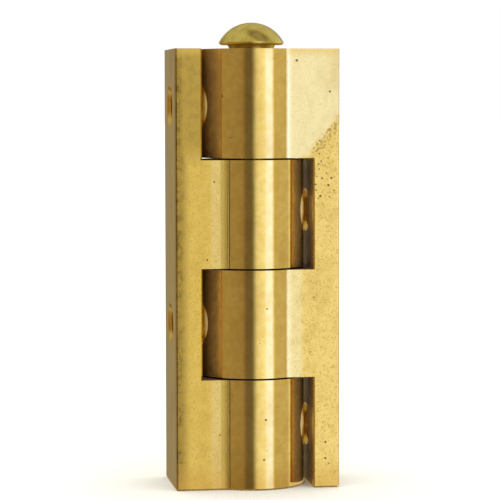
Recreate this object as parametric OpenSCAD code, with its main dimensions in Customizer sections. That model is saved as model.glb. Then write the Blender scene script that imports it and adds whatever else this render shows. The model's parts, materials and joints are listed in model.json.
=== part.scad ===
// Loose-pin block hinge in solid brass, shown closed.
//
// Both leaves are the same piece, cut from one drawn section; the door's leaf
// is turned end for end, so its knuckles fall in the slots of the other leaf.
// Each leaf has a screw plate on its outer side, a barrel that is carried on a
// solid web, and slots cut right back to the plate. The tapped holes take
// screws from outside, through the metal that the leaf is fixed to, and open
// into the slots, clear of the pin's bore. The domed pin drops in from the top
// and lifts out again.
//
// +Z runs up the pin. -Y is the side that the barrel shows on, -X is the frame
// and +X is the door. The origin is on the pin's axis, level with the bottom
// ends of the leaves.

/* [Leaves] */
// Height of both leaves
leaf_h = 50; // [36:1:90]
// How far the back edges of the plates stand out behind the barrel
back_overhang = 0; // [0:0.1:4]
// Thickness of the screw plate, which is all that is left behind a slot
plate_t = 3; // [2.4:0.1:5]
// Radius of the long outer edges at the front of the leaves
front_round = 0.2; // [0.1:0.05:1.2]
// Radius of the long outer edges at the back of the leaves
back_round = 0.4; // [0.2:0.1:1.2]
// Bevel on the front and back edges of the slots
slot_bevel = 0.15; // [0.1:0.05:0.5]

/* [Knuckles] */
// Number of knuckles on each leaf
knuckles = 2; // [1:1:3]
// Diameter of the barrel
barrel_d = 12; // [10:0.1:15]
// How far the barrel stands proud of the front flats
barrel_proud = 1.05; // [0.8:0.05:2]
// Width of the sloping root between a front flat and the barrel
root_w = 0.7; // [0.5:0.1:1]
// How far the root rises from the flat to the barrel
root_rise = 0.07; // [0.05:0.01:0.15]
// Space between a knuckle and the slot wall that it turns past
slot_clearance = 0.4; // [0.2:0.05:1]
// Space between one knuckle's end and the next
knuckle_gap = 0.2; // [0.1:0.05:0.6]
// Radius of the valley between the barrel and the plate, at the back
valley_r = 1; // [0.6:0.1:1.5]

/* [Pin] */
// Diameter of the pin
pin_d = 5; // [4:0.1:6.4]
// Space all round the pin in its bore
pin_clearance = 0.05; // [0.02:0.01:0.1]
// Diameter of the pin's head, at its rim
head_d = 7.45; // [7.2:0.05:8]
// Height of the head
head_h = 2.55; // [2.4:0.05:2.8]
// Radius of the head's dome
dome_r = 4.2; // [4.1:0.05:4.8]
// Bevel under the head's rim
rim_bevel = 0.2; // [0.1:0.05:0.3]
// Length of the flared neck that holds the head off the top knuckle
neck_h = 0.5; // [0.1:0.05:0.8]
// How much wider the neck is than the pin, at the head
neck_flare = 0.5; // [0.3:0.1:1]
// How far the pin's lower end stops short of the bottom of the leaves
tail_gap = 0.4; // [0:0.1:2]
// Lead-in bevel on the pin's lower end
tail_bevel = 0.5; // [0.2:0.1:1]

/* [Screw holes] */
// Core diameter of the tapped holes (4.13 for an M5 thread)
screw_d = 4.13; // [3.2:0.01:5]
// How far the tapped holes lie behind the pin's axis
screw_back = 0.5; // [0:0.1:1.5]
// How far the tapped holes lie off the middle of their slots, towards the bottom
screw_drop = 0.25; // [0:0.05:0.5]

/* [Hidden] */
$fn = 96;

cut = 1;  // how far a cutter runs past the face that it opens

// The section, looking down the pin: distances from its axis.
barrel_r = barrel_d / 2;
flat_front = barrel_r - barrel_proud;
leaf_back = barrel_r + back_overhang;
slot_wall = barrel_r + slot_clearance;
plate_outer = slot_wall + plate_t;
bore_d = pin_d + 2 * pin_clearance;

// The valley's round touches both the barrel and the plane of the slot wall.
valley_x = slot_wall - valley_r;
valley_y = sqrt(pow(barrel_r + valley_r, 2) - pow(valley_x, 2));

// The root slopes up from the flat and meets the barrel at a crease.
crease_y = flat_front + root_rise;
crease_x = sqrt(pow(barrel_r, 2) - pow(crease_y, 2));

// Up the pin: knuckles of one leaf stand one pitch apart from the other's.
pitch = leaf_h / (2 * knuckles);

brass = "goldenrod";
pin_brass = "darkgoldenrod";

// Takes a square corner at the origin, whose sides run along +X and +Y, to a round.
module round_cut(r) {
    difference() {
        translate([-cut, -cut]) square(r + cut);
        translate([r, r]) circle(r);
    }
}

// Takes the same corner to a bevel.
module bevel_cut(b) {
    polygon([[-cut, -cut], [b + cut, -cut], [-cut, b + cut]]);
}

// Section of the screw plate, on the -X side of the pin.
module plate_section() {
    difference() {
        translate([-plate_outer, -flat_front]) square([plate_t, flat_front + leaf_back]);
        translate([-plate_outer, -flat_front]) round_cut(front_round);
        translate([-plate_outer, leaf_back]) mirror([0, 1]) round_cut(back_round);
        translate([-slot_wall, -flat_front]) mirror([1, 0]) bevel_cut(slot_bevel);
        translate([-slot_wall, leaf_back]) mirror([1, 0]) mirror([0, 1]) bevel_cut(slot_bevel);
    }
}

// Section of a knuckle: the barrel, and the web that fills in to the plate.
// The web reaches half-way into the plate, so that it covers the slot's bevels.
module knuckle_section() {
    web_x = slot_wall + plate_t / 2;
    root_x = crease_x + root_w;
    inner_x = crease_x / 2;
    circle(barrel_r);
    difference() {
        polygon([
            [-web_x, -flat_front],
            [-root_x, -flat_front],
            [-inner_x, -crease_y - root_rise * inner_x / root_w],
            [0, 0],
            [-valley_x, valley_y],
            [-web_x, valley_y],
        ]);
        translate([-valley_x, valley_y]) circle(valley_r);
    }
}

// One leaf, as it stands on the frame's side, with a knuckle at its bottom end.
module leaf() {
    difference() {
        union() {
            linear_extrude(leaf_h) plate_section();
            for (i = [0 : knuckles - 1]) {
                foot = i == 0 ? 0 : knuckle_gap / 2;
                translate([0, 0, 2 * i * pitch + foot])
                    linear_extrude(pitch - foot - knuckle_gap / 2) knuckle_section();
            }
        }
        translate([0, 0, -cut]) cylinder(d = bore_d, h = leaf_h + 2 * cut);
        for (i = [0 : knuckles - 1])
            translate([0, screw_back, (2 * i + 1.5) * pitch - screw_drop]) rotate([0, -90, 0])
                cylinder(d = screw_d, h = plate_outer + cut);
    }
}

module frame_leaf() {
    color(brass) leaf();
}

module door_leaf() {
    color(brass) translate([0, 0, leaf_h]) rotate([0, 180, 0]) leaf();
}

// Half outline of the head, from the pin's axis outward, standing on its rim.
module head_section() {
    head_r = head_d / 2;
    intersection() {
        translate([0, head_h - dome_r]) circle(dome_r);
        polygon([
            [0, 0],
            [head_r - rim_bevel, 0],
            [head_r, rim_bevel],
            [head_r, head_h + cut],
            [0, head_h + cut],
        ]);
    }
}

module hinge_pin() {
    shank_top = tail_gap + tail_bevel;
    color(pin_brass) {
        translate([0, 0, tail_gap])
            cylinder(d1 = pin_d - 2 * tail_bevel, d2 = pin_d, h = tail_bevel);
        translate([0, 0, shank_top]) cylinder(d = pin_d, h = leaf_h - shank_top);
        translate([0, 0, leaf_h]) cylinder(d1 = pin_d, d2 = pin_d + neck_flare, h = neck_h);
        translate([0, 0, leaf_h + neck_h]) rotate_extrude() head_section();
    }
}

frame_leaf();
door_leaf();
hinge_pin();
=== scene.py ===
import json
import math

import bpy
from mathutils import Matrix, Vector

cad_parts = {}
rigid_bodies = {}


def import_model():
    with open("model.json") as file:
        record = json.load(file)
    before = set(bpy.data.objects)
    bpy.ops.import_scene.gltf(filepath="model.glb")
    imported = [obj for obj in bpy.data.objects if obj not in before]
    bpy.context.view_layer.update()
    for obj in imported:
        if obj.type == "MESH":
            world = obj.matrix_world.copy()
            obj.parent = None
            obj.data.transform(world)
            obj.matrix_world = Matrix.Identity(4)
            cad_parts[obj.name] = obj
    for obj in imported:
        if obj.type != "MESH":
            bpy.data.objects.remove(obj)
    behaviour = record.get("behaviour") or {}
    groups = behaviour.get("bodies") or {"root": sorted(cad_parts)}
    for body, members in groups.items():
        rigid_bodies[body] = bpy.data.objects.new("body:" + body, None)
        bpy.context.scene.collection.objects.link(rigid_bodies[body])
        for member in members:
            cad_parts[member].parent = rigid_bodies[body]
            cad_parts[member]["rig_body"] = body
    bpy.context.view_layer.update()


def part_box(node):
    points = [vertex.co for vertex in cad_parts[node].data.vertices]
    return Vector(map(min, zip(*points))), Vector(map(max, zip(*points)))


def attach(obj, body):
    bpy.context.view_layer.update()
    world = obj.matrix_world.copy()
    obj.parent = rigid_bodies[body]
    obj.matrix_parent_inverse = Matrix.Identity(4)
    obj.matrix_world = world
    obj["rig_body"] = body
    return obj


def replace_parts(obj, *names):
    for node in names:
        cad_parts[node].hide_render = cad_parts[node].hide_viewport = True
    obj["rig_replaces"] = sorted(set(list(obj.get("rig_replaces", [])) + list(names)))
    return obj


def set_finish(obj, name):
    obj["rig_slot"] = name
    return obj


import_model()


# ---------------------------------------------------------------- frame's leaf
# The leaf that is screwed to the frame. It is one block of brass, sawn and
# milled to a screw plate and two barrel knuckles on a solid web, then drilled
# up the middle for the pin and drilled and tapped through the plate.

leaf_low, leaf_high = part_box("frame_leaf")
leaf_height = leaf_high.z
outer_face = leaf_low.x
back_face = leaf_high.y
plate_thickness = 0.003
slot_wall = outer_face + plate_thickness
front_round = 0.0002
back_round = 0.0004
slot_bevel = 0.00015

# The barrel is level with the plate's back, and stands proud of its front flat.
barrel_radius = back_face
barrel_proud = 0.00105
front_flat = barrel_proud - barrel_radius
bore_radius = 0.00255
worn_edge = 0.00011

# The web starts half-way into the plate. A sloping root meets the barrel at a
# crease in front, and a round valley touches the barrel and the slot wall's plane.
web_foot = slot_wall - plate_thickness / 2
root_width = 0.0007
root_rise = 0.00007
crease_y = front_flat - root_rise
crease = (-math.sqrt(barrel_radius**2 - crease_y**2), crease_y)
valley_radius = 0.001
valley_x = slot_wall + valley_radius
valley_centre = (valley_x, math.sqrt((barrel_radius + valley_radius) ** 2 - valley_x**2))

# Four knuckles share the height, and every second one is this leaf's.
pitch = leaf_height / 4
knuckle_gap = 0.0002
knuckle_spans = [
    (0.0, pitch - knuckle_gap / 2),
    (2 * pitch + knuckle_gap / 2, 3 * pitch - knuckle_gap / 2),
]


def add_lone_point(name, x, y, z):
    """Leaves one selected point in edit mode, for an outline to be drawn from."""
    bpy.ops.object.select_all(action="DESELECT")
    bpy.ops.mesh.primitive_plane_add(size=0.001, location=(0, 0, 0))
    piece = bpy.context.object
    piece.name = name
    piece.data.name = name
    bpy.ops.object.mode_set(mode="EDIT")
    bpy.ops.mesh.merge(type="CENTER")
    bpy.ops.transform.translate(value=(x, y, z))
    return piece


def draw_line(dx, dy, dz=0.0):
    bpy.ops.mesh.extrude_region_move(TRANSFORM_OT_translate={"value": (dx, dy, dz)})


def draw_arc(centre, degrees, steps, axis=(0, 0, 1)):
    """Carries the outline round an arc, anticlockwise as seen down the axis."""
    bpy.ops.mesh.spin(steps=steps, angle=-math.radians(degrees), center=centre, axis=axis)


def close_and_raise(height):
    """Closes the outline drawn at one level, fills it and extrudes it up."""
    bpy.ops.mesh.select_all(action="SELECT")
    bpy.ops.mesh.remove_doubles(threshold=0.000002)
    bpy.ops.mesh.edge_face_add()
    draw_line(0, 0, height)
    bpy.ops.mesh.select_all(action="SELECT")
    bpy.ops.mesh.normals_make_consistent(inside=False)
    bpy.ops.object.mode_set(mode="OBJECT")


def spin_whole(centre, axis, steps):
    """Turns the outline drawn from the axis out and back into a closed solid."""
    bpy.ops.mesh.select_all(action="SELECT")
    bpy.ops.mesh.spin(steps=steps, angle=math.tau, center=centre, axis=axis)
    bpy.ops.mesh.select_all(action="SELECT")
    bpy.ops.mesh.remove_doubles(threshold=0.000002)
    bpy.ops.mesh.normals_make_consistent(inside=False)
    bpy.ops.object.mode_set(mode="OBJECT")


def combine(piece, other, operation):
    """Unites the other solid with the piece, or cuts it out of it."""
    bpy.ops.object.select_all(action="DESELECT")
    piece.select_set(True)
    bpy.context.view_layer.objects.active = piece
    cut = piece.modifiers.new("cut", "BOOLEAN")
    cut.operation = operation
    cut.solver = "EXACT"
    cut.object = other
    bpy.ops.object.modifier_apply(modifier=cut.name)
    bpy.data.objects.remove(other)


def draw_plate():
    """The screw plate's section: rounded outside, bevelled along the slots."""
    piece = add_lone_point("frame_leaf_brass", outer_face + front_round, front_flat, 0)
    draw_line(slot_wall - slot_bevel - outer_face - front_round, 0)
    draw_line(slot_bevel, slot_bevel)
    draw_line(0, back_face - front_flat - 2 * slot_bevel)
    draw_line(-slot_bevel, slot_bevel)
    draw_line(outer_face + back_round - slot_wall + slot_bevel, 0)
    draw_arc((outer_face + back_round, back_face - back_round, 0), 90, 6)
    draw_line(0, front_flat + front_round - back_face + back_round)
    draw_arc((outer_face + front_round, front_flat + front_round, 0), 90, 10)
    close_and_raise(leaf_height)
    return piece


def draw_knuckle(foot, head):
    """The section of web, root, barrel and valley, from one knuckle end to the other."""
    piece = add_lone_point("knuckle", web_foot, front_flat, foot)
    draw_line(crease[0] - root_width - web_foot, 0)
    draw_line(root_width, crease[1] - front_flat)
    start = math.degrees(math.atan2(crease[1], crease[0]))
    finish = math.degrees(math.atan2(valley_centre[1], valley_centre[0]))
    draw_arc((0, 0, 0), finish - start, 208)
    draw_arc((*valley_centre, 0), -finish, 16)
    draw_line(web_foot - slot_wall, 0)
    close_and_raise(head - foot)
    return piece


frame_leaf = draw_plate()
for foot, head in knuckle_spans:
    combine(frame_leaf, draw_knuckle(foot, head), "UNION")

drill_overrun = 0.001
drill = add_lone_point("drill", 0, 0, -drill_overrun)
draw_line(bore_radius, 0)
draw_line(0, 0, leaf_height + 2 * drill_overrun)
draw_line(-bore_radius, 0)
spin_whole((0, 0, 0), (0, 0, 1), 96)
combine(frame_leaf, drill, "DIFFERENCE")

bpy.ops.object.mode_set(mode="EDIT")
bpy.ops.mesh.select_all(action="SELECT")
bpy.ops.mesh.remove_doubles(threshold=0.000002)
bpy.ops.mesh.dissolve_limited(angle_limit=math.radians(0.2))
bpy.ops.mesh.normals_make_consistent(inside=False)
bpy.ops.object.mode_set(mode="OBJECT")

# The sharp edges left by the saw and the drill are worn slightly round.
wear = frame_leaf.modifiers.new("worn edges", "BEVEL")
wear.width = worn_edge
wear.segments = 3
wear.limit_method = "ANGLE"
wear.angle_limit = math.radians(50)
bpy.ops.object.modifier_apply(modifier=wear.name)

# The tapped holes: a countersunk mouth at each end, and between them the
# grooves of a 60 degree thread of 0.8 mm pitch, cut into the hole's core.
core_radius = 0.002065
mouth = 0.0004
tap_overrun = 0.0002
thread_land = 0.00003
thread_turns = 3
thread_depth = 0.00036
flank = 0.00021
crest = 0.00012
groove_space = 0.00026
hole_back = 0.0005
hole_drop = 0.00025
hole_levels = [1.5 * pitch - hole_drop, 3.5 * pitch - hole_drop]


def draw_tap(level):
    """The solid that a tapped hole takes away, running past both faces of the plate."""
    piece = add_lone_point("tap", outer_face - tap_overrun, hole_back, level)
    cone = mouth + tap_overrun
    draw_line(0, 0, core_radius + cone)
    draw_line(cone, 0, -cone)
    draw_line(thread_land, 0)
    for groove in range(thread_turns):
        if groove > 0:
            draw_line(groove_space, 0)
        draw_line(flank, 0, thread_depth)
        draw_line(crest, 0)
        draw_line(flank, 0, -thread_depth)
    draw_line(thread_land, 0)
    draw_line(cone, 0, cone)
    draw_line(0, 0, -core_radius - cone)
    spin_whole((0, hole_back, level), (1, 0, 0), 64)
    return piece


for level in hole_levels:
    combine(frame_leaf, draw_tap(level), "DIFFERENCE")


def finish_shading(piece):
    """Smooths the turned and rounded faces and keeps the flats flat."""
    bpy.ops.object.select_all(action="DESELECT")
    piece.select_set(True)
    bpy.context.view_layer.objects.active = piece
    bpy.ops.object.shade_smooth_by_angle(angle=math.radians(28))
    even = piece.modifiers.new("flat faces", "WEIGHTED_NORMAL")
    even.keep_sharp = True
    even.weight = 60
    bpy.ops.object.modifier_apply(modifier=even.name)


finish_shading(frame_leaf)


# The finish: polished brass, mirror-like on the barrel and rubbed on the flats,
# with fine pits and scratches. Dark brown shade is painted into the slots, gaps and corners.
def add_node(tree, kind, **settings):
    node = tree.nodes.new(kind)
    for name, value in settings.items():
        setattr(node, name, value)
    return node


def do_sum(tree, operation, a, b=None, c=None):
    """A Math node on numbers or sockets."""
    node = add_node(tree, "ShaderNodeMath", operation=operation)
    for slot, value in enumerate((a, b, c)):
        if isinstance(value, (int, float)):
            node.inputs[slot].default_value = value
        elif value is not None:
            tree.links.new(value, node.inputs[slot])
    return node.outputs[0]


def fade(tree, value, low, high, at_low=0.0, at_high=1.0):
    """Turns a value between low and high into a smooth change."""
    node = add_node(tree, "ShaderNodeMapRange", interpolation_type="SMOOTHSTEP")
    tree.links.new(value, node.inputs["Value"])
    node.inputs["From Min"].default_value = low
    node.inputs["From Max"].default_value = high
    node.inputs["To Min"].default_value = at_low
    node.inputs["To Max"].default_value = at_high
    return node.outputs["Result"]


def times(tree, a, b):
    return do_sum(tree, "MULTIPLY", a, b)


def larger(tree, a, b):
    return do_sum(tree, "MAXIMUM", a, b)


def spare(tree, value, mask, share):
    """Takes this share off a value where the mask is 1."""
    return times(tree, value, do_sum(tree, "MULTIPLY_ADD", mask, -share, 1.0))


def between(tree, value, low, high, blur):
    """1 where the value is between two limits, softened over the blur."""
    above = fade(tree, value, low - blur, low)
    return times(tree, above, fade(tree, value, high, high + blur, 1.0, 0.0))


def cloud(tree, place, size, detail=3.0, stretch=(1, 1, 1), turn=(0, 0, 0), offset=(0, 0, 0)):
    """Noise whose blotches are about this size in metres."""
    mapping = add_node(tree, "ShaderNodeMapping")
    mapping.inputs["Location"].default_value = offset
    mapping.inputs["Rotation"].default_value = [math.radians(a) for a in turn]
    mapping.inputs["Scale"].default_value = [s / size for s in stretch]
    tree.links.new(place, mapping.inputs["Vector"])
    noise = add_node(tree, "ShaderNodeTexNoise")
    noise.inputs["Scale"].default_value = 1.0
    noise.inputs["Detail"].default_value = detail
    tree.links.new(mapping.outputs["Vector"], noise.inputs["Vector"])
    return noise.outputs["Fac"]


def blend(tree, factor, first, second, kind="RGBA"):
    """Goes from the first colour or number to the second as the factor rises."""
    node = add_node(tree, "ShaderNodeMix", data_type=kind)
    tree.links.new(factor, node.inputs["Factor"])
    for slot, value in (("A", first), ("B", second)):
        socket = [s for s in node.inputs if s.name == slot and s.enabled][0]
        if isinstance(value, tuple):
            socket.default_value = (*value, 1.0)
        elif isinstance(value, float):
            socket.default_value = value
        else:
            tree.links.new(value, socket)
    return [s for s in node.outputs if s.enabled][0]


def scattered_pits(tree, place, spacing, size, share):
    """Round pits of about this size, in that share of the cells of a grid."""
    cells = add_node(tree, "ShaderNodeTexVoronoi", feature="F1", distance="EUCLIDEAN")
    cells.inputs["Scale"].default_value = 1.0 / spacing
    tree.links.new(place, cells.inputs["Vector"])
    pick = add_node(tree, "ShaderNodeSeparateColor")
    tree.links.new(cells.outputs["Color"], pick.inputs["Color"])
    chosen = do_sum(tree, "LESS_THAN", pick.outputs["Red"], share)
    smallest = 0.32 * size / spacing
    variation = 0.35 * size / spacing
    radius = do_sum(tree, "MULTIPLY_ADD", pick.outputs["Green"], variation, smallest)
    return times(tree, chosen, do_sum(tree, "LESS_THAN", cells.outputs["Distance"], radius))


def single_pit(tree, place, side, x, z, radius):
    """One round pit at a known place on the flat of a leaf, or round its barrel."""
    on_flat = x * side > -crease[0]
    y = front_flat + 0.00005 if on_flat else -math.sqrt(barrel_radius**2 - x**2)
    reach = add_node(tree, "ShaderNodeVectorMath", operation="DISTANCE")
    tree.links.new(place, reach.inputs[0])
    reach.inputs[1].default_value = (x, y, z)
    return fade(tree, reach.outputs["Value"], 0.9 * radius, 1.6 * radius, 1.0, 0.0)


def object_place(tree):
    """The place on the piece, for a patch that needs noise of its own."""
    return [n for n in tree.nodes if n.type == "TEX_COORD"][0].outputs["Object"]


pale_brass = (0.960, 0.740, 0.270)
deep_brass = (0.890, 0.650, 0.200)
rubbed_brass = (1.000, 0.900, 0.540)
brown_blotch = (0.640, 0.420, 0.110)
dark_tarnish = (0.240, 0.160, 0.030)
brown_speck = (0.580, 0.380, 0.100)
olive_stain = (0.600, 0.400, 0.080)
foot_reflection_orange = (0.700, 0.420, 0.095)
warm_top = (0.850, 0.600, 0.170)
outer_bronze = (0.420, 0.250, 0.150)
outer_grey = (0.620, 0.560, 0.430)
pit_brown = (0.150, 0.080, 0.030)
crease_shade = (0.260, 0.150, 0.050)
recess_shade_brown = (0.150, 0.072, 0.085)
orange_film_and_reflection = (0.620, 0.250, 0.060)


def make_leaf_brass(name, side, offset, tone, lip, known_pits, clean_patch, dull_patch):
    """Brass for the leaf on one side: -1 is the frame's and 1 the door's.

    The offset moves the marks, so that the two leaves differ. The flats lean
    towards the tone, and the lip is the share of painted shade at the front edge
    of the slot walls. Each known pit is its x, z and radius. Each patch takes the
    tree, x and z, and gives a mask.
    """
    finish = bpy.data.materials.new(name)
    finish.use_nodes = True
    tree = finish.node_tree
    shader = tree.nodes["Principled BSDF"]
    shader.inputs["Specular IOR Level"].default_value = 0.15
    coordinates = add_node(tree, "ShaderNodeTexCoord")
    place = coordinates.outputs["Object"]
    axes = add_node(tree, "ShaderNodeSeparateXYZ")
    tree.links.new(place, axes.inputs["Vector"])
    x, y, z = axes.outputs
    normal = add_node(tree, "ShaderNodeSeparateXYZ")
    tree.links.new(coordinates.outputs["Normal"], normal.inputs["Vector"])
    level = do_sum(tree, "ABSOLUTE", normal.outputs["Z"])
    sideways = do_sum(tree, "ABSOLUTE", normal.outputs["X"])
    reach = do_sum(tree, "ABSOLUTE", x)
    from_axis = do_sum(tree, "SQRT", do_sum(tree, "MULTIPLY_ADD", x, x, times(tree, y, y)))
    barrel = between(tree, from_axis, barrel_radius - 0.00006, barrel_radius + 0.00004, 0.00003)
    barrel = times(tree, barrel, fade(tree, reach, barrel_radius, barrel_radius + 0.0001, 1.0, 0.0))
    flats = do_sum(tree, "SUBTRACT", 1.0, barrel)
    front = times(tree, flats, fade(tree, y, front_flat + 0.00045, front_flat + 0.00145, 1.0, 0.0))
    outer = fade(tree, reach, -outer_face - 0.0001, -outer_face)

    # Painted shade: dark, dull brown on the slot walls, more of it deeper in, on the sawn knuckle
    # ends and in the corners.
    off_ends = between(tree, z, 0.0006, leaf_height - 0.0006, 0.0002)
    sawn = times(tree, fade(tree, level, 0.7, 0.9), off_ends)
    wall = between(tree, reach, -slot_wall - 0.00015, -slot_wall + 0.00005, 0.00005)
    wall = times(tree, wall, fade(tree, sideways, 0.8, 0.95))
    wall = times(tree, wall, fade(tree, y, front_flat + 0.00025, front_flat + 0.00155, lip, 0.85))
    # Ambient occlusion finds the corners, where the shade is painted.
    close = add_node(tree, "ShaderNodeAmbientOcclusion", samples=6)
    close.inputs["Distance"].default_value = 0.0007
    corners = fade(tree, close.outputs["AO"], 0.15, 0.75, 0.8, 0.0)
    corners = spare(tree, corners, barrel, 0.5)
    corners = times(tree, corners, fade(tree, y, front_flat + 0.00007, front_flat + 0.00035))
    recess_shade = larger(tree, larger(tree, sawn, wall), corners)
    uneven = cloud(tree, place, 0.0015, 3.0, offset=offset)
    recess_shade = times(tree, recess_shade, fade(tree, uneven, 0.2, 0.6, 0.75, 0.97))

    # Colour: clean brass, browner and greener where tarnish has gathered, with a painted reflection
    # at the foot.
    blotches = cloud(tree, place, 0.0045, 4.0, (1, 1, 0.5), offset=offset)
    mottle = cloud(tree, place, 0.0007, 5.0, offset=offset)
    grain = cloud(tree, place, 0.00022, 3.0, offset=offset)
    colour = blend(tree, fade(tree, mottle, 0.34, 0.68), pale_brass, deep_brass)
    colour = blend(tree, times(tree, flats, 0.5), colour, tone)
    bright = times(tree, clean_patch(tree, x, z), front)
    colour = blend(tree, bright, colour, rubbed_brass)
    colour = blend(tree, fade(tree, blotches, 0.54, 0.78, 0.0, 0.40), colour, brown_blotch)
    dull = times(tree, dull_patch(tree, x, z), fade(tree, mottle, 0.30, 0.62, 1.0, 0.72))
    colour = blend(tree, times(tree, dull, front), colour, dark_tarnish)
    specks = times(tree, fade(tree, grain, 0.52, 0.68, 0.0, 0.65), flats)
    colour = blend(tree, spare(tree, specks, bright, 0.85), colour, brown_speck)
    stains = cloud(tree, place, 0.0011, 4.0, (1, 1, 0.7), offset=offset)
    stains = spare(tree, fade(tree, stains, 0.44, 0.66, 0.0, 0.26), barrel, 0.45)
    colour = blend(tree, spare(tree, stains, bright, 0.7), colour, olive_stain)
    # Painted reflection: orange-brown towards the foot, for the warm light that the brass mirrors
    # near the floor.
    colour = blend(tree, fade(tree, z, 0.0003, 0.0035, 0.55, 0.0), colour, foot_reflection_orange)
    near_top = fade(tree, z, leaf_height - 0.0012, leaf_height - 0.0002, 0.0, 0.5)
    colour = blend(tree, times(tree, near_top, flats), colour, warm_top)
    bronzed = cloud(tree, place, 0.0030, 2.0, (1, 1, 0.7), offset=(2.7, 8.1, 5.3))
    bronzed = times(tree, outer, fade(tree, bronzed, 0.50, 0.75, 0.0, 0.6))
    colour = blend(tree, bronzed, colour, outer_bronze)
    greyed = fade(tree, y, front_flat + 0.00045, back_face - 0.0005, 0.3, 0.8)
    colour = blend(tree, times(tree, outer, greyed), colour, outer_grey)

    # Pits, with the brown that stays in them, and a fine line of painted shade in the crease.
    cluster = fade(tree, cloud(tree, place, 0.0035, 2.0, offset=offset), 0.54, 0.60)
    pitted = times(tree, scattered_pits(tree, place, 0.00042, 0.00009, 0.13), cluster)
    pitted = larger(tree, pitted, scattered_pits(tree, place, 0.0016, 0.00013, 0.10))
    for pit_x, pit_z, radius in known_pits:
        pitted = larger(tree, pitted, single_pit(tree, place, side, pit_x, pit_z, radius))
    colour = blend(tree, times(tree, pitted, 0.85), colour, pit_brown)
    # Painted shade: a fine dark line along the front crease.
    crease_from = -crease[0] - 0.000065
    crease_to = -crease[0] + 0.000065
    crease_line = between(tree, times(tree, x, side), crease_from, crease_to, 0.00004)
    in_crease = fade(tree, y, front_flat + 0.00005, front_flat + 0.00025, 0.22, 0.0)
    colour = blend(tree, times(tree, crease_line, in_crease), colour, crease_shade)
    # The painted shade of the slots, gaps and corners goes over everything else.
    colour = blend(tree, recess_shade, colour, recess_shade_brown)

    # A dull film on the barrel, where it turns into the slots out of a cloth's reach; its orange is
    # partly a painted reflection of the warm brass beside it.
    film_and_reflection = times(tree, barrel, between(tree, reach, 0.0044, 0.0052, 0.0006))
    film_and_reflection = times(tree, film_and_reflection, 0.16)
    colour = blend(tree, film_and_reflection, colour, orange_film_and_reflection)
    tree.links.new(colour, shader.inputs["Base Color"])
    unmetallic = larger(tree, times(tree, recess_shade, 0.8), times(tree, film_and_reflection, 0.9))
    tree.links.new(do_sum(tree, "SUBTRACT", 1.0, unmetallic), shader.inputs["Metallic"])

    # Gloss: bright on the barrel, rubbed on the flats, dull on the outer side.
    hair = cloud(tree, place, 0.00013, 2.0, (1, 1, 0.04), offset=offset)
    slant = cloud(tree, place, 0.00010, 2.0, (1, 1, 0.035), turn=(0, 52, 0), offset=offset)
    rub = larger(tree, fade(tree, hair, 0.62, 0.76), fade(tree, slant, 0.62, 0.74))
    gloss = do_sum(tree, "MULTIPLY_ADD", rub, 0.08, do_sum(tree, "MULTIPLY_ADD", mottle, 0.14, 0.12))
    gloss = blend(tree, barrel, gloss, 0.055, "FLOAT")
    gloss = blend(tree, outer, gloss, 0.30, "FLOAT")
    gloss = blend(tree, film_and_reflection, gloss, 0.30, "FLOAT")
    tree.links.new(blend(tree, recess_shade, gloss, 0.50, "FLOAT"), shader.inputs["Roughness"])

    # Relief: waves left by polishing, orange-peel grain, hairlines and the pits.
    waves = cloud(tree, place, 0.0020, 2.0, (1, 1, 0.45), offset=offset)
    rough_parts = blend(tree, barrel, 1.0, 0.10, "FLOAT")
    relief = do_sum(tree, "MULTIPLY_ADD", grain, 0.16, times(tree, mottle, 0.35))
    relief = times(tree, relief, rough_parts)
    relief = do_sum(tree, "MULTIPLY_ADD", waves, 0.5, relief)
    relief = do_sum(tree, "MULTIPLY_ADD", rub, -0.03, relief)
    relief = do_sum(tree, "MULTIPLY_ADD", pitted, -1.0, relief)
    bump = add_node(tree, "ShaderNodeBump")
    bump.inputs["Strength"].default_value = 0.6
    bump.inputs["Distance"].default_value = 0.00003
    tree.links.new(relief, bump.inputs["Height"])
    tree.links.new(bump.outputs["Normal"], shader.inputs["Normal"])
    return finish


def frame_clean_patch(tree, x, z):
    """The brighter strip of the flats beside the barrel."""
    return times(tree, between(tree, x, -0.0051, -0.0044, 0.0006), 0.26)


def frame_dull_patch(tree, x, z):
    """Tarnish along the outer edge, spreading over the plate at its top."""
    edge = fade(tree, x, -0.0091, -0.0076, 1.0, 0.08)
    on_plate = fade(tree, x, slot_wall, slot_wall + 0.0004, 1.0, 0.0)
    top = times(tree, fade(tree, z, 0.0355, 0.0400, 0.0, 0.68), on_plate)
    beside_root = times(tree, between(tree, x, -0.0042, -0.0038, 0.0002), 0.50)
    return larger(tree, larger(tree, edge, top), beside_root)


frame_pits = [
    (-0.00502, 0.03495, 0.00008), (-0.00585, 0.02612, 0.00009), (-0.00447, 0.00614, 0.00008),
    (0.00072, 0.00789, 0.00010), (0.00048, 0.00332, 0.00009),
]
frame_leaf.data.materials.append(
    make_leaf_brass(
        "frame_leaf_brass",
        side=-1,
        offset=(3.1, 1.7, 0.4),
        tone=(0.775, 0.506, 0.046),
        lip=0.45,
        known_pits=frame_pits,
        clean_patch=frame_clean_patch,
        dull_patch=frame_dull_patch,
    )
)
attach(frame_leaf, "frame_leaf")
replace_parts(frame_leaf, "frame_leaf")
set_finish(frame_leaf, "leaf_brass")


# ----------------------------------------------------------------- door's leaf
# The leaf that is screwed to the door. It is the same piece as the frame's
# leaf, turned end for end, so that its knuckles fill the other one's slots.

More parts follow.
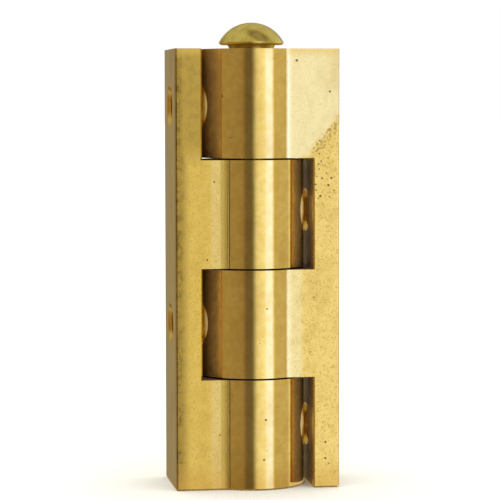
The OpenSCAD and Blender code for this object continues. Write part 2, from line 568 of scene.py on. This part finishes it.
bpy.ops.object.select_all(action="DESELECT")
frame_leaf.select_set(True)
bpy.context.view_layer.objects.active = frame_leaf
bpy.ops.object.duplicate()
door_leaf = bpy.context.object
door_leaf.name = "door_leaf_brass"
door_leaf.data.name = "door_leaf_brass"
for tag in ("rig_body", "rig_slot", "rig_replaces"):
    if tag in door_leaf:
        del door_leaf[tag]
bpy.ops.object.parent_clear(type="CLEAR_KEEP_TRANSFORM")
bpy.ops.transform.rotate(value=math.pi, orient_axis="Y", center_override=(0, 0, leaf_height / 2))
bpy.ops.object.transform_apply(location=True, rotation=True, scale=True)


def above_rub(tree, x, z):
    """Height above the slanting rub on the plate, whose edge is ragged."""
    slant = do_sum(tree, "MULTIPLY_ADD", x, -1.18, z)
    ragged = cloud(tree, object_place(tree), 0.0007, 4.0)
    return do_sum(tree, "MULTIPLY_ADD", ragged, 0.0022, slant)


def door_clean_patch(tree, x, z):
    """The brighter upper corner, above the rub, and a strip beside the barrel."""
    above = fade(tree, above_rub(tree, x, z), 0.0316, 0.0332, 0.0, 0.85)
    strip = times(tree, between(tree, x, 0.0038, 0.0046, 0.0008), 0.6)
    return larger(tree, above, strip)


def door_dull_patch(tree, x, z):
    """The specks of dirt that lie along the rub, on the plate."""
    band = between(tree, above_rub(tree, x, z), 0.0314, 0.0322, 0.0005)
    band = times(tree, band, fade(tree, x, 0.0052, 0.0066))
    speckle = cloud(tree, object_place(tree), 0.00035, 3.0)
    return times(tree, band, fade(tree, speckle, 0.45, 0.60, 0.0, 0.75))


door_pits = [
    (0.00443, 0.04865, 0.00012), (0.00824, 0.04513, 0.00010), (0.00841, 0.03531, 0.00010),
    (0.00807, 0.03451, 0.00011), (0.00714, 0.03327, 0.00012), (0.00773, 0.00505, 0.00011),
    (0.00773, 0.00320, 0.00011), (0.00726, 0.03725, 0.00008), (0.00772, 0.03679, 0.00006),
    (0.00703, 0.03634, 0.00007), (0.00784, 0.03588, 0.00007), (0.00668, 0.03395, 0.00008),
    (0.00737, 0.03372, 0.00006), (0.00691, 0.03304, 0.00007), (0.00710, 0.03960, 0.00007),
    (0.00790, 0.04050, 0.00007), (0.00850, 0.04120, 0.00006), (0.00640, 0.03870, 0.00007),
    (0.00692, 0.03690, 0.00008), (0.00735, 0.03530, 0.00009), (0.00675, 0.03550, 0.00007),
    (0.00805, 0.03760, 0.00007), (0.00705, 0.03810, 0.00007), (0.00662, 0.03460, 0.00009),
    (0.00875, 0.03390, 0.00007), (0.00760, 0.03880, 0.00006), (0.00820, 0.03320, 0.00007),
    (-0.00402, 0.04464, 0.00008), (0.00086, 0.02055, 0.00007),
]
door_leaf.data.materials[0] = make_leaf_brass(
    "door_leaf_brass",
    side=1,
    offset=(7.3, 4.9, 2.2),
    tone=(0.950, 0.715, 0.235),
    lip=0.20,
    known_pits=door_pits,
    clean_patch=door_clean_patch,
    dull_patch=door_dull_patch,
)
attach(door_leaf, "door_leaf")
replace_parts(door_leaf, "door_leaf")
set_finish(door_leaf, "leaf_brass")


# ------------------------------------------------------------------------- pin
# The pin that drops in from the top and lifts out. It is turned from brass rod
# in one piece, with a domed head, a short flared neck and a bevelled lower end.

pin_low, pin_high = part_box("hinge_pin")
pin_foot = pin_low.z
pin_radius = 0.0025
neck_top = leaf_height + 0.0005
rim_radius = 0.003725
rim_bevel = 0.0002
tail_bevel = 0.0005
neck_flare = 0.00025
dome_radius = 0.0042
dome_level = pin_high.z - dome_radius
dome_turn = math.asin(rim_radius / dome_radius)
rim_top = dome_level + dome_radius * math.cos(dome_turn)

hinge_pin = add_lone_point("hinge_pin_brass", 0, 0, pin_foot)
draw_line(pin_radius - tail_bevel, 0)
draw_line(tail_bevel, 0, tail_bevel)
draw_line(0, 0, leaf_height - pin_foot - tail_bevel)
draw_line(neck_flare, 0, neck_top - leaf_height)
draw_line(rim_radius - rim_bevel - pin_radius - neck_flare, 0)
draw_line(rim_bevel, 0, rim_bevel)
draw_line(0, 0, rim_top - neck_top - rim_bevel)
draw_arc((0, 0, dome_level), math.degrees(dome_turn), 32, axis=(0, -1, 0))
spin_whole((0, 0, 0), (0, 0, 1), 128)
finish_shading(hinge_pin)

# The finish: turned brass, mottled and lightly tarnished.
pin_finish = bpy.data.materials.new("hinge_pin_brass")
pin_finish.use_nodes = True
tree = pin_finish.node_tree
shader = tree.nodes["Principled BSDF"]
shader.inputs["Metallic"].default_value = 1.0
place = add_node(tree, "ShaderNodeTexCoord").outputs["Object"]
axes = add_node(tree, "ShaderNodeSeparateXYZ")
tree.links.new(place, axes.inputs["Vector"])
z = axes.outputs["Z"]
mottle = cloud(tree, place, 0.0012, 4.0)
turned = cloud(tree, place, 0.00012, 2.0, (0.15, 0.15, 1))
colour = blend(tree, fade(tree, mottle, 0.35, 0.70), (0.860, 0.720, 0.230), (0.700, 0.520, 0.140))

# The soft brown thumb mark on the front of the head.
mark_centre = (0.0004, -0.0032, 0.0514)
turn = add_node(tree, "ShaderNodeVectorRotate", rotation_type="Y_AXIS")
turn.inputs["Center"].default_value = mark_centre
turn.inputs["Angle"].default_value = math.radians(-24)
tree.links.new(place, turn.inputs["Vector"])
mark = add_node(tree, "ShaderNodeVectorMath", operation="SUBTRACT")
tree.links.new(turn.outputs["Vector"], mark.inputs[0])
mark.inputs[1].default_value = mark_centre
squash = add_node(tree, "ShaderNodeVectorMath", operation="MULTIPLY")
tree.links.new(mark.outputs["Vector"], squash.inputs[0])
squash.inputs[1].default_value = (1.0, 0.6, 2.6)
size = add_node(tree, "ShaderNodeVectorMath", operation="LENGTH")
tree.links.new(squash.outputs["Vector"], size.inputs[0])
thumb = fade(tree, size.outputs["Value"], 0.0008, 0.0020, 0.85, 0.0)
thumb = times(tree, thumb, fade(tree, cloud(tree, place, 0.0016, 3.0), 0.3, 0.6, 0.6, 1.0))
colour = blend(tree, thumb, colour, (0.330, 0.200, 0.060))

# A thin line of painted shadow under the head's rim, and the gloss and fine turning marks.
rim_shadow = fade(tree, z, neck_top + 0.00002, neck_top + 0.00013, 0.45, 0.0)
colour = blend(tree, rim_shadow, colour, (0.260, 0.160, 0.050))
tree.links.new(colour, shader.inputs["Base Color"])
gloss = do_sum(tree, "MULTIPLY_ADD", mottle, 0.12, 0.20)
tree.links.new(do_sum(tree, "MULTIPLY_ADD", thumb, 0.15, gloss), shader.inputs["Roughness"])
bump = add_node(tree, "ShaderNodeBump")
bump.inputs["Strength"].default_value = 0.4
bump.inputs["Distance"].default_value = 0.00003
tree.links.new(do_sum(tree, "MULTIPLY_ADD", turned, 0.12, mottle), bump.inputs["Height"])
tree.links.new(bump.outputs["Normal"], shader.inputs["Normal"])
hinge_pin.data.materials.append(pin_finish)
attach(hinge_pin, "hinge_pin")
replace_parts(hinge_pin, "hinge_pin")
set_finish(hinge_pin, "pin_brass")


# ----------------------------------------------------------------------- stage
# A pale floor under soft light. The panels that the brass mirrors stand all
# round it: a bright one at the right of the camera and dimmer ones elsewhere.

bpy.ops.object.select_all(action="DESELECT")
bpy.ops.mesh.primitive_plane_add(size=8, location=(0, 0, -0.0002))
floor = bpy.context.object
floor.name = "floor"
floor.visible_glossy = False
floor.visible_shadow = False
paint = bpy.data.materials.new("floor_paint")
paint.use_nodes = True
coat = paint.node_tree.nodes["Principled BSDF"]
coat.inputs["Base Color"].default_value = (0.86, 0.86, 0.86, 1)
coat.inputs["Roughness"].default_value = 0.9
floor.data.materials.append(paint)

# The light that stands round the hinge: the bearing of each panel in degrees,
# from -Y towards +X, and its colour. Some 20 to 40 degrees up they fade into the
# colour overhead.
panels = [
    (-180, (0.42, 0.35, 0.20)),
    (-160, (0.42, 0.35, 0.20)),
    (-150, (0.24, 0.16, 0.08)),
    (-136, (0.26, 0.18, 0.09)),
    (-128, (0.52, 0.48, 0.36)),
    (-110, (0.50, 0.46, 0.34)),
    (-100, (0.36, 0.28, 0.15)),
    (-86, (0.38, 0.20, 0.10)),
    (-76, (0.40, 0.26, 0.12)),
    (-68, (0.38, 0.30, 0.16)),
    (-38, (0.35, 0.27, 0.15)),
    (-29, (0.34, 0.25, 0.15)),
    (-20, (0.18, 0.13, 0.085)),
    (-10, (0.16, 0.135, 0.08)),
    (-7, (0.18, 0.16, 0.12)),
    (-2.5, (0.43, 0.40, 0.33)),
    (2, (0.78, 0.75, 0.66)),
    (7, (0.93, 0.91, 0.82)),
    (14, (1.00, 0.98, 0.90)),
    (20.5, (1.10, 1.08, 1.00)),
    (25, (1.15, 1.32, 2.20)),
    (37.5, (1.15, 1.32, 2.20)),
    (41, (0.90, 0.84, 0.66)),
    (44, (0.62, 0.54, 0.32)),
    (78, (0.60, 0.53, 0.40)),
    (86, (0.90, 0.86, 0.76)),
    (130, (0.85, 0.80, 0.68)),
    (150, (0.40, 0.34, 0.22)),
    (180, (0.42, 0.35, 0.20)),
]
overhead = (0.56, 0.53, 0.37)
world = bpy.data.worlds.new("studio")
bpy.context.scene.world = world
world.use_nodes = True
sky = world.node_tree
bearings = add_node(sky, "ShaderNodeSeparateXYZ")
sky.links.new(add_node(sky, "ShaderNodeTexCoord").outputs["Generated"], bearings.inputs["Vector"])
toward = do_sum(sky, "MULTIPLY", bearings.outputs["Y"], -1.0)
bearing = do_sum(sky, "ARCTAN2", bearings.outputs["X"], toward)
spread = do_sum(sky, "MULTIPLY_ADD", bearing, 0.5 / math.pi, 0.5)
ring = add_node(sky, "ShaderNodeValToRGB")
sky.links.new(spread, ring.inputs["Fac"])
stops = ring.color_ramp.elements
stops[1].position = 1.0
for angle, _ in panels[1:-1]:
    stops.new((angle + 180) / 360)
for stop, (angle, colour) in zip(stops, panels):
    stop.color = (*colour, 1)
lit = blend(sky, fade(sky, bearings.outputs["Z"], 0.30, 0.62), ring.outputs["Color"], overhead)
seen = add_node(sky, "ShaderNodeLightPath").outputs["Is Camera Ray"]
sky.links.new(blend(sky, seen, lit, (1.0, 1.0, 1.0)), sky.nodes["Background"].inputs["Color"])

# One broad lamp overhead lights the floor, and isn't mirrored in the brass.
bpy.ops.object.select_all(action="DESELECT")
bpy.ops.object.light_add(type="SUN", location=(0, 0, 1))
lamp = bpy.context.object
lamp.name = "overhead_lamp"
lamp.data.energy = 3.0
lamp.data.angle = math.radians(70)
lamp.visible_glossy = False

# The camera stands in front, a little to the frame's side and level with the top
# knuckle. Its right, up and back directions are given, and where it stands.
camera_data = bpy.data.cameras.new("camera")
camera_data.lens = 167.74
camera_data.sensor_width = 36
camera_data.clip_start = 0.01
camera = bpy.data.objects.new("camera", camera_data)
bpy.context.scene.collection.objects.link(camera)
right = (0.98905, -0.14755, -0.00188)
up = (0.01137, 0.06351, 0.99792)
back = (-0.14712, -0.98701, 0.06450)
stand = (-0.03981, -0.26579, 0.04425)
camera.matrix_world = Matrix(
    [[right[i], up[i], back[i], stand[i]] for i in range(3)] + [[0, 0, 0, 1]]
)
bpy.context.scene.camera = camera
bpy.context.scene.view_settings.view_transform = "Standard"
